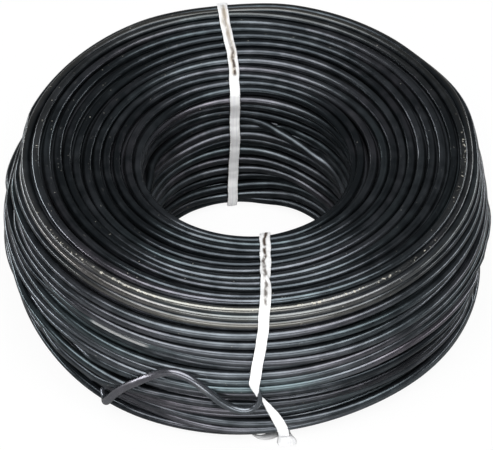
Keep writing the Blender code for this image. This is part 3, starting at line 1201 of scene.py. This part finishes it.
@dataclass
class Studio:
    """Floor, lamps and camera.

    The floor is white to the camera. To reflections it is dimmer, and inside the bore's foot
    it carries a painted shadow, dimmest there, so that it doesn't light the gaps between the
    turns from below. A lamp has a name, a place and a size in metres, and a radiance.
    """

    distance: float = 720.0
    elevation: float = 43.85
    target: tuple[float, float, float] = (-0.135, 0.4, 12.65)
    focal_px: float = 3874.0
    frame_px: int = 493
    sensor: float = 36.0
    paper: str = "#f6f6f6"
    floor_reach: float = 3.0
    seen_white: float = 0.93
    mirrored_white: float = 0.22
    bore_foot: tuple[float, float] = (0.016, 0.022)
    dimming_and_bore_shadow: tuple[float, float] = (0.9, 0.68)
    room: float = 0.12
    room_colour: tuple[float, ...] = (0.92, 0.96, 1.0, 1.0)
    lamps: tuple[tuple, ...] = (
        ("lamp_overhead", (0.0, -0.40, 1.15), (1.9, 1.0), 4.0),
        ("lamp_front", (0.0, -1.35, 0.24), (1.7, 0.40), 3.8),
        ("lamp_low_left", (-1.20, 0.45, 0.06), (1.6, 0.10), 13.0),
        ("lamp_low_right", (1.20, 0.45, 0.06), (1.6, 0.10), 9.0),
    )

    def build_camera(self) -> None:
        """Stands the camera where the photograph was taken from."""
        camera = bpy.data.cameras.new("camera")
        camera.sensor_width = self.sensor
        camera.lens = self.focal_px * self.sensor / self.frame_px
        camera.clip_end = 20.0
        holder = bpy.data.objects.new("camera", camera)
        angle = math.radians(self.elevation)
        back = Vector((0.0, -math.cos(angle), math.sin(angle)))
        holder.location = (Vector(self.target) + back * self.distance) * MM
        holder.rotation_euler = back.to_track_quat("Z", "Y").to_euler()
        bpy.context.scene.collection.objects.link(holder)
        bpy.context.scene.camera = holder

    def build_floor(self) -> None:
        """Lays a plain white floor."""
        mesh = bpy.data.meshes.new("floor")
        reach = self.floor_reach
        corners = [(-reach, -reach, 0), (reach, -reach, 0), (reach, reach, 0), (-reach, reach, 0)]
        mesh.from_pydata(corners, [], [(0, 1, 2, 3)])
        floor = bpy.data.objects.new("floor", mesh)
        bpy.context.scene.collection.objects.link(floor)
        made = bpy.data.materials.new("studio_paper")
        made.use_nodes = True
        tree = made.node_tree
        tree.nodes.clear()
        rays = add_node(tree, "ShaderNodeLightPath").outputs
        direct = (rays["Is Camera Ray"], rays["Is Transmission Ray"])
        seen = add_node(tree, "ShaderNodeMath", direct, operation="MAXIMUM")
        seen = add_node(tree, "ShaderNodeMath", (seen, self.seen_white), operation="MULTIPLY")
        mirrored = (rays["Is Glossy Ray"], self.mirrored_white)
        mirrored = add_node(tree, "ShaderNodeMath", mirrored, operation="MULTIPLY")
        share = add_node(tree, "ShaderNodeMath", (seen, mirrored), operation="MAXIMUM")
        paper = add_node(tree, "ShaderNodeBsdfDiffuse", {"Color": linear(self.paper)})
        white = add_node(tree, "ShaderNodeEmission", {"Color": (1, 1, 1, 1), "Strength": 1.0})
        both = add_node(tree, "ShaderNodeMixShader", (share, paper, white))
        place = add_node(tree, "ShaderNodeTexCoord").outputs["Object"]
        off_axis = add_node(tree, "ShaderNodeVectorMath", (place,), operation="LENGTH").outputs["Value"]
        # Painted shadow: to reflections, the floor inside the bore's foot is dimmed to a tenth, against a
        # third elsewhere.
        darker = add_node(tree, "ShaderNodeMapRange", (off_axis, *self.bore_foot, *self.dimming_and_bore_shadow))
        dim = add_node(tree, "ShaderNodeMath", (darker, rays["Is Glossy Ray"]), operation="MULTIPLY")
        black = add_node(tree, "ShaderNodeEmission", {"Strength": 0.0})
        shaded = add_node(tree, "ShaderNodeMixShader", (dim, both, black))
        add_node(tree, "ShaderNodeOutputMaterial", (shaded,))
        mesh.materials.append(made)

    def build_lamps(self) -> None:
        """Hangs the lamps, aimed at the coil and hidden from the camera, in a dim room."""
        for name, place, size, radiance in self.lamps:
            light = bpy.data.lights.new(name, "AREA")
            light.shape = "RECTANGLE"
            light.size, light.size_y = size
            light.energy = radiance * math.pi * size[0] * size[1]
            lamp = bpy.data.objects.new(name, light)
            lamp.visible_camera = False
            lamp.location = place
            lamp.rotation_euler = Vector(place).to_track_quat("Z", "Y").to_euler()
            bpy.context.scene.collection.objects.link(lamp)
        world = bpy.data.worlds.new("room")
        bpy.context.scene.world = world
        world.use_nodes = True
        light = {"Color": self.room_colour, "Strength": self.room}
        plug(world.node_tree, world.node_tree.nodes["Background"], light)


DENTS = tuple(Dent(*row) for row in (
    (150, 42, 76, 3, -0.25), (22, 21, 76, 3, 0.7), (3, 22, 80.5, 2.6, -0.35), (0, 9, 88.5, 2, 0.3),
    (-10, 12, 93.5, 3, -1.9), (173, 14, 77.3, 3.4, -0.95), (182, 14, 89.5, 3.5, 0.15),
    (106, 14, 75, 3, -0.2), (-8, 24, 94.8, 2.8, -1.3), (-10, 9, 99.5, 2.8, -1.3),
    (190, 30, 96.4, 3.2, -1.15), (185, 25, 80.5, 1.2, -0.4), (-62, 36, 101, 4, -0.6),
    (-155, 40, 101, 4.5, -1.1), (95, 18, 74.5, 3, -0.45),
))
PINCHES = tuple(Pinch(*row) for row in (
    (-2, 55, 93, 5, 2.4), (186, 50, 95.5, 5, 2.2), (178, 60, 83.5, 4, 1.4), (10, 50, 80, 4, 1.2),
    (100, 45, 90, 5, 1.6), (97, 42, 34.5, 8.5, -1.4), (-102, 42, 60, 10, -0.6), (40, 45, 31, 4, 1.5),
    (165, 30, 33, 4, 1),
))
CROSSINGS = tuple(Crossing(*row) for row in (
    (186, 90, 3, 75, 200), (200, 96, 2, 60, 190), (165, 82.5, 2, 62, 230), (25, 41, 2, 70, 120),
    (10, 84, 3, 70, 115), (60, 93, 2, 60, 90), (-20, 10, 2, 60, 120),
))
FRONT_ROWS = (
    (29.95, 3.16, 1.95, 0.3, 0.0), (25.0, 2.74, 1.95, 0.3, 0.0), (22.3, 2.37, 1.95, 0.3, 0.0),
    (19.5, 1.92, 1.95, 0.8, 0.0), (17.4, 1.50, 1.95, 1.7, 0.0), (15.9, 1.22, 1.95, 2.2, 0.0),
    (15.3, 1.26, 1.80, 2.15, 0.0), (13.7, 1.45, 1.05, 1.7, 0.0), (11.9, 1.60, 0.30, 1.1, 0.0),
    (11.1, 2.00, 0.30, 0.3, 0.0), (10.0, 2.62, 0.45, 0.3, 0.0), (8.8, 3.10, 0.75, 0.3, 0.0),
    (7.5, 3.63, 1.15, 0.3, 0.0), (5.05, 4.62, 1.65, 0.3, 0.0), (2.5, 5.68, 1.95, 0.3, 0.0),
    (0.6, 6.34, 1.95, 0.3, 0.0), (-1.9, 6.60, 1.90, 0.3, 0.0), (-5.0, 6.60, 1.90, 0.3, 0.0),
    (-25.5, 3.70, 1.90, 0.3, 0.0), (-29.5, 3.20, 1.90, 0.3, 0.0), (-51.5, 3.16, 1.95, 0.3, 0.0),
    (-67.4, 3.20, 1.95, 0.3, 0.0), (-69.0, 3.15, 1.85, 0.45, 12.0), (-70.2, 3.05, 1.75, 0.7, 40.0),
    (-71.5, 3.25, 1.85, 0.45, 8.0), (-73.3, 3.27, 1.95, 0.3, 0.0),
)
BACK_ROWS = (
    (31.2, -4.72, 1.9, 0.3, 0.0), (-5.0, -4.4, 1.9, 0.3, 0.0), (-25.5, -2.9, 1.9, 0.3, 0.0),
    (-34.0, -2.62, 1.9, 0.3, 0.0), (-41.6, -2.40, 1.9, 0.3, 0.0), (-52.0, -2.19, 1.9, 0.3, 0.0),
    (-57.6, -2.36, 1.9, 0.3, 0.0), (-62.0, -2.57, 1.9, 0.3, 0.0), (-67.4, -3.43, 1.9, 0.3, 0.0),
    (-72.3, -4.22, 1.9, 0.3, 0.0),
)
TAPE_ENDS = (
    ("tape_front_end_left", (
        (6.2, -39.6, 0.30, 1.9), (5.0, -41.0, 0.35, 2.0), (3.7, -42.0, 0.50, 1.8),
        (2.3, -42.3, 0.70, 1.1), (0.9, -41.7, 0.80, 0.3),
    ), 0.35),
    ("tape_front_end_right", (
        (6.5, -39.0, 0.30, 1.9), (6.7, -41.0, 0.35, 2.3), (6.9, -42.3, 0.45, 3.0),
        (7.1, -43.4, 0.60, 3.6), (7.2, -44.4, 0.80, 3.0),
    ), 0.0),
)


def main() -> None:
    """Builds the sub-assemblies in order and reports each piece."""
    logging.basicConfig(level=logging.INFO, format="%(name)s: %(message)s")
    bpy.context.scene.view_settings.view_transform = "Standard"
    studio = Studio()
    studio.build_camera()
    studio.build_floor()
    studio.build_lamps()
    section = Section()
    steel, tape = AnnealedSteel(), PlasticTape()
    winding = Winding(section, steel, dents=DENTS, pinches=PINCHES, crossings=CROSSINGS)
    winding.lay()
    winding.follow()
    pieces = [winding.build(wall) for wall in Wall]
    pieces += [winding.build_second_layer(), winding.build_buried_turns()]
    pieces.append(FreeEnd(section, steel).build())
    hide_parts("wire_coil")
    front = Tie(winding, tape, "tape_front", -90.0, FRONT_ROWS, streak=(51.0, 78.0), stain=0.25).build()
    back = Tie(winding, tape, "tape_back", 90.0, BACK_ROWS, streak=(58.5, 78.0), stain=1.0).build()
    pieces += [TapeEnd(tape, *end).build() for end in TAPE_ENDS]
    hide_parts("tie_front")
    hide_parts("tie_back")
    for piece in [*pieces, front, back]:
        LOG.info("%s: %d faces", piece.name, len(piece.data.polygons))


if __name__ == "__main__":
    main()
